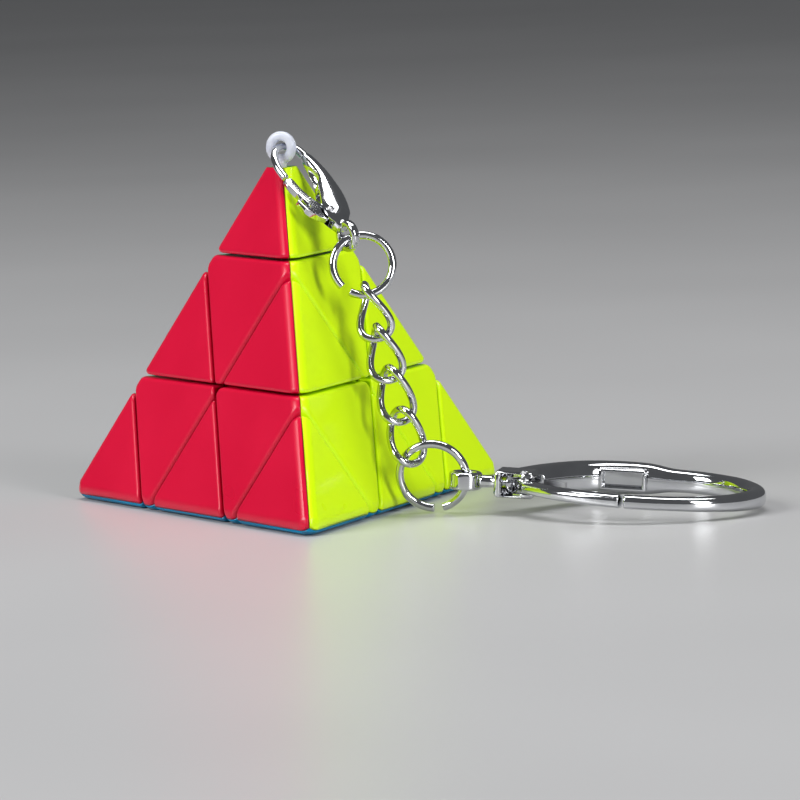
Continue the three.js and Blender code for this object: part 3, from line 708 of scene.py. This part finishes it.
def build_pin(name, node, body, point, radius, length, turn, origin):
    """A pivot pin with rounded ends."""
    bm = bmesh.new()
    half = length / 2
    bevel = 0.2 * radius
    profile = [(0, -half), (radius - bevel, -half), (radius, bevel - half), (radius, half - bevel),
               (radius - bevel, half), (0, half)]
    add_turned(bm, profile, 32, Matrix.Translation((*point, 0)))
    pin = mesh_object(name, bm, STEEL, origin, turn)
    finish_normals(pin)
    fit_piece(pin, node, body)


build_clasp_body()
build_clasp_lever()
build_pin("clasp_pin_round", "clasp_pin", "clasp", CLASP_PIVOT, CLASP_PIN_R, CLASP_THICK,
          CLASP_TURN, EYELET)

# ------------------------------------------------------------------ jump rings and curb links
RING_WIRE_R = 0.395
RING_GAP = 0.9
UPPER_RING_R = 2.9
UPPER_RING_OPENING = math.radians(-62)
UPPER_RING_HOLDS = math.radians(-19)
UPPER_RING_FACES = Vector((0.3, -0.93, 0.2)).normalized()
LOWER_RING_R = 3.25
LOWER_RING_OPENING = math.radians(-84)
LOWER_RING_LEAN = math.radians(12)
LINK_WIRE_R = 0.375
LINK_HALF_WIDTH = 1.5
LINK_HALF_LENGTH = 2.7
LINK_TWIST = 0.95
LINK_STEPS = 96


def build_ring(node, radius, opening, centre, turn):
    half_opening = RING_GAP / 2 / radius
    path = circle_points(radius, opening + half_opening, 2 * math.pi - 2 * half_opening, 97)
    bm = bmesh.new()
    add_sweep(bm, path, [(RING_WIRE_R, RING_WIRE_R)] * len(path), 24, False, (0, 0, 1), 2.0, 0.08)
    ring = mesh_object(f"{node}_wire", bm, CHROME, centre, turn)
    finish_normals(ring)
    fit_piece(ring, node, node)


def build_rings():
    holds = joint_place("link_1_swing")
    tangent = -joint_axis("link_1_swing")
    outward = tangent.cross(UPPER_RING_FACES)
    x_axis = Quaternion(UPPER_RING_FACES, -UPPER_RING_HOLDS) @ outward
    turn = pose_of(x_axis, UPPER_RING_FACES.cross(x_axis))
    build_ring("upper_ring", UPPER_RING_R, UPPER_RING_OPENING, holds - outward * UPPER_RING_R, turn)
    right = Vector((1, 0, 0))
    centre = joint_place("hook_eye_swing") - right * LOWER_RING_R
    upright = Vector((0, -math.sin(LOWER_RING_LEAN), math.cos(LOWER_RING_LEAN)))
    build_ring("lower_ring", LOWER_RING_R, LOWER_RING_OPENING, centre, pose_of(right, upright))


def link_curve():
    """One twisted loop of wire about the local origin, its length along x."""
    points = []
    for step in range(LINK_STEPS):
        angle = 2 * math.pi * step / LINK_STEPS
        points.append((LINK_HALF_LENGTH * math.cos(angle), LINK_HALF_WIDTH * math.sin(angle),
                       -LINK_TWIST * math.sin(2 * angle)))
    return points


def build_links():
    swings = ["link_2_swing", "link_3_swing", "link_4_swing", "lower_ring_swing"]
    ends = [joint_place(name) for name in swings]
    along = (ends[-1] - ends[0]).normalized()
    for index, name in enumerate(swings):
        tangent = -joint_axis(name)
        side = LINK_HALF_WIDTH * tangent + 2 * LINK_TWIST * along.cross(tangent)
        bm = bmesh.new()
        sizes = [(LINK_WIRE_R, LINK_WIRE_R)] * LINK_STEPS
        add_sweep(bm, link_curve(), sizes, 20, True)
        node = f"chain_link_{index + 1}"
        centre = ends[index] - along * LINK_HALF_LENGTH
        link = mesh_object(f"{node}_wire", bm, CHROME, centre, pose_of(along, side))
        fit_piece(link, node, node)


build_rings()
build_links()

# ------------------------------------------------------------------ snap hook
HOOK = joint_place("hook_swivel")
HOOK_X = joint_axis("hook_swivel")
HOOK_Z = joint_axis("gate_open")
HOOK_TURN = pose_of(HOOK_X, HOOK_Z.cross(HOOK_X))
HOOK_EYE_HOLE_R = 0.85
HOOK_EYE_R = 1.6
HOOK_EYE_H = 1.7
HOOK_EYE_BEVEL = 0.3
HOOK_NECK_R = 0.6
HOOK_NECK_FLARE = {"wider": 0.12, "from": -0.35, "to": 0.1}    # about the eye's outside
HOOK_NECK_PLAY = 0.2
HOOK_NECK_END = 4.75
HOOK_COLLAR = {"at": 4.35, "radius": 0.95, "length": 0.7, "rim": 0.15}
HOOK_WINDOW = {"half_length": 0.6, "low": -2.1, "high": 1.1, "half_thick": 1.1}    # round the collar
HOOK_BLOCK = {"from": 3.0, "to": 6.9, "width": 3.6, "thick": 2.6, "round": 0.4}
HOOK_PIVOT = (5.9, -1.2)
HOOK_PIN_R = 0.45
HOOK_SLOT_H = 1.5
HOOK_BARREL_R = 0.95
HOOK_GATE_THICK = 1.25
HOOK_BORE_L = 6.0


def hook_piece(name, bm):
    return mesh_object(name, bm, CHROME, HOOK, HOOK_TURN)


def build_hook_eye():
    half = HOOK_EYE_H / 2
    bevel = HOOK_EYE_BEVEL
    corners = [(HOOK_EYE_R - bevel, half - bevel, 0), (HOOK_EYE_HOLE_R + bevel, half - bevel, 90),
               (HOOK_EYE_HOLE_R + bevel, bevel - half, 180), (HOOK_EYE_R - bevel, bevel - half, 270)]
    profile = []
    for radius, height, start in corners:
        profile += arc_points(radius, height, bevel, math.radians(start), math.pi / 2, 7)
    bm = bmesh.new()
    add_turned(bm, profile, 64)
    eye = hook_piece("hook_eye_turned", bm)
    along_x = Matrix.Rotation(math.pi / 2, 4, "Y")
    low = HOOK_COLLAR["at"] - HOOK_COLLAR["length"] / 2
    high = HOOK_COLLAR["at"] + HOOK_COLLAR["length"] / 2
    rim = HOOK_COLLAR["rim"]
    root = HOOK_EYE_R + HOOK_NECK_FLARE["from"]
    neck = [(0, root), (HOOK_NECK_R + HOOK_NECK_FLARE["wider"], root),
            (HOOK_NECK_R, HOOK_EYE_R + HOOK_NECK_FLARE["to"]), (HOOK_NECK_R, low),
            (HOOK_COLLAR["radius"] - rim, low), (HOOK_COLLAR["radius"], low + rim),
            (HOOK_COLLAR["radius"], high - rim), (HOOK_COLLAR["radius"] - rim, high),
            (HOOK_NECK_R, high), (HOOK_NECK_R, HOOK_NECK_END), (0, HOOK_NECK_END)]
    shaft = bmesh.new()
    add_turned(shaft, neck, 40, along_x)
    boolean(eye, hook_piece("neck", shaft), "UNION")
    finish_normals(eye)
    fit_piece(eye, "hook_eye", "hook_eye")


def build_hook_body():
    # centre line, half width and half thickness of the cast body, from the block round to the nose
    stations = [(5.0, 0.6, 1.7, 1.3), (7.3, 3.7, 1.6, 1.5), (10.3, 6.6, 1.45, 1.6), (13.6, 7.9, 1.3, 1.6),
                (16.6, 8.2, 1.2, 1.5), (19.0, 7.95, 1.05, 1.15), (22.3, 7.2, 0.98, 1.08),
                (26.0, 4.6, 0.93, 1.05), (28.15, 0.0, 0.9, 0.98), (26.8, -4.3, 0.85, 0.84),
                (23.5, -6.9, 0.82, 0.72), (19.9, -7.95, 0.78, 0.68), (16.55, -8.1, 0.74, 0.68)]
    path, sizes = smooth_stations(stations, 150)
    bm = bmesh.new()
    add_sweep(bm, path, sizes, 36, False, (0, 0, 1), 2.5, 0.2)
    body = hook_piece("hook_body_cast", bm)
    block = bmesh.new()
    half_width = HOOK_BLOCK["width"] / 2
    half_thick = HOOK_BLOCK["thick"] / 2
    add_box(block, (HOOK_BLOCK["from"], -half_width, -half_thick),
            (HOOK_BLOCK["to"], half_width, half_thick), HOOK_BLOCK["round"])
    boolean(body, hook_piece("block", block), "UNION")
    window_low = (HOOK_COLLAR["at"] - HOOK_WINDOW["half_length"], HOOK_WINDOW["low"],
                  -HOOK_WINDOW["half_thick"])
    window_high = (HOOK_COLLAR["at"] + HOOK_WINDOW["half_length"], HOOK_WINDOW["high"],
                   HOOK_WINDOW["half_thick"])
    cutters = [((4.75, -4.8, -HOOK_SLOT_H / 2), (8.75, 1.2, HOOK_SLOT_H / 2)), (window_low, window_high)]
    for low, high in cutters:
        cutter = bmesh.new()
        add_box(cutter, low, high)
        boolean(body, hook_piece("cutter", cutter), "DIFFERENCE")
    along_x = Matrix.Rotation(math.pi / 2, 4, "Y")
    bore = bmesh.new()
    bore_r = HOOK_NECK_R + HOOK_NECK_PLAY
    bmesh.ops.create_cone(bore, cap_ends=True, segments=CUTTER_SIDES, radius1=bore_r, radius2=bore_r,
                          depth=3, matrix=Matrix.Translation((3.3, 0, 0)) @ along_x)
    boolean(body, hook_piece("neck_bore", bore), "DIFFERENCE")
    pin_bore = tube_cutter("pin_bore", HOOK_PIVOT, HOOK_PIN_R + PIN_PLAY, HOOK_BORE_L, HOOK_TURN, HOOK)
    boolean(body, pin_bore, "DIFFERENCE")
    rim = bmesh.new()
    add_box(rim, (12.0, 6.0, -1.05), (16.6, 7.6, 1.05), 0.22, 3)
    boolean(body, hook_piece("rim", rim), "UNION")
    recess = bmesh.new()
    add_box(recess, (12.35, 4.9, -0.72), (16.25, 7.2, 0.72), 0.15, 2)
    boolean(body, hook_piece("recess", recess), "DIFFERENCE")
    finish_normals(body)
    fit_piece(body, "hook_body", "hook_body")


def build_hook_gate():
    # centre line, half width and half thickness, from the pivot to the tip
    stations = [(5.9, -1.2, 0.85, 0.6), (7.1, -3.0, 1.15, 0.6), (8.6, -4.6, 1.0, 0.6),
                (10.2, -5.8, 0.86, 0.64), (12.8, -7.05, 0.8, 0.66), (16.25, -8.05, 0.74, 0.67)]
    path, sizes = smooth_stations(stations, 60)
    bm = bmesh.new()
    add_sweep(bm, path, sizes, 32, False, (0, 0, 1), 2.6, 0.15)
    gate = hook_piece("hook_gate_polished", bm)
    barrel = tube_cutter("barrel", HOOK_PIVOT, HOOK_BARREL_R, HOOK_GATE_THICK, HOOK_TURN, HOOK)
    boolean(gate, barrel, "UNION")
    bore = tube_cutter("bore", HOOK_PIVOT, HOOK_PIN_R + PIN_PLAY, HOOK_BORE_L, HOOK_TURN, HOOK)
    boolean(gate, bore, "DIFFERENCE")
    finish_normals(gate)
    fit_piece(gate, "hook_gate", "hook_gate")


build_hook_eye()
build_hook_body()
build_hook_gate()
build_pin("hook_pin_round", "hook_pin", "hook_body", HOOK_PIVOT, HOOK_PIN_R, HOOK_BLOCK["thick"],
          HOOK_TURN, HOOK)

# ------------------------------------------------------------------ finishes on the CAD nodes that stay
for node, piece in NODES.items():
    if node == "core":
        piece.data.materials.clear()
        piece.data.materials.append(PLASTIC["core"])
    elif node.startswith(("screw", "spring", "hook_spring")):
        piece.data.materials.clear()
        piece.data.materials.append(STEEL)

# ------------------------------------------------------------------ floor, light and camera
FLOOR_SIZE_M = 4.0
WORLD_COLOUR = (0.8, 0.82, 0.85, 1)
WORLD_STRENGTH = 0.13
# each light's place, what it points at and its size in millimetres, and its power in watts
LIGHTS = {
    "key": ((-430, -330, 330), (0, 0, 15), (230, 300), 3.1),
    "fill": ((420, -380, 230), (0, 0, 15), (150, 300), 2.3),
    "top": ((0, 80, 520), (0, 0, 10), (460, 150), 2.0),
}
LENS_MM = 270
SENSOR_MM = 36
CAMERA_FROM_PUZZLE = (119.9, -569.85, 77.06)
CAMERA_RIGHT = Vector((0.9823, 0.1838, -0.0354))
CAMERA_UP = Vector((0.0135, 0.1192, 0.9928))


def build_floor():
    bpy.ops.mesh.primitive_plane_add(size=FLOOR_SIZE_M, location=(0, 0, 0))
    floor = bpy.context.object
    floor.name = "floor"
    material, nodes, links, shader = new_material("pale_floor")
    shade = add_noise(nodes, links, 0.01, 2)
    add_colour(nodes, links, shader, shade, (0.44, 0.44, 0.445), (0.48, 0.48, 0.485))
    shader.inputs["Roughness"].default_value = 0.35
    floor.data.materials.append(material)


def add_area(name, place_mm, target_mm, size_mm, power):
    light = bpy.data.lights.new(name, "AREA")
    light.shape = "RECTANGLE"
    light.size = size_mm[0] * MM
    light.size_y = size_mm[1] * MM
    light.energy = power
    lamp = bpy.data.objects.new(name, light)
    bpy.context.scene.collection.objects.link(lamp)
    lamp.location = Vector(place_mm) * MM
    lamp.rotation_euler = (Vector(target_mm) - Vector(place_mm)).to_track_quat("-Z", "Y").to_euler()


def build_light():
    scene = bpy.context.scene
    scene.view_settings.view_transform = "Standard"
    world = bpy.data.worlds.new("studio")
    scene.world = world
    world.use_nodes = True
    background = world.node_tree.nodes["Background"]
    background.inputs["Color"].default_value = WORLD_COLOUR
    background.inputs["Strength"].default_value = WORLD_STRENGTH
    for name, (place_mm, target_mm, size_mm, power) in LIGHTS.items():
        add_area(name, place_mm, target_mm, size_mm, power)


def build_camera():
    lens = bpy.data.cameras.new("camera")
    lens.lens = LENS_MM
    lens.sensor_width = SENSOR_MM
    camera = bpy.data.objects.new("camera", lens)
    bpy.context.scene.collection.objects.link(camera)
    back = CAMERA_RIGHT.cross(CAMERA_UP).normalized()
    place = Matrix((CAMERA_RIGHT, back.cross(CAMERA_RIGHT), back)).transposed().to_4x4()
    place.translation = (Vector((CENTRE.x, CENTRE.y, 0)) + Vector(CAMERA_FROM_PUZZLE)) * MM
    camera.matrix_world = place
    bpy.context.scene.camera = camera


build_floor()
build_light()
build_camera()
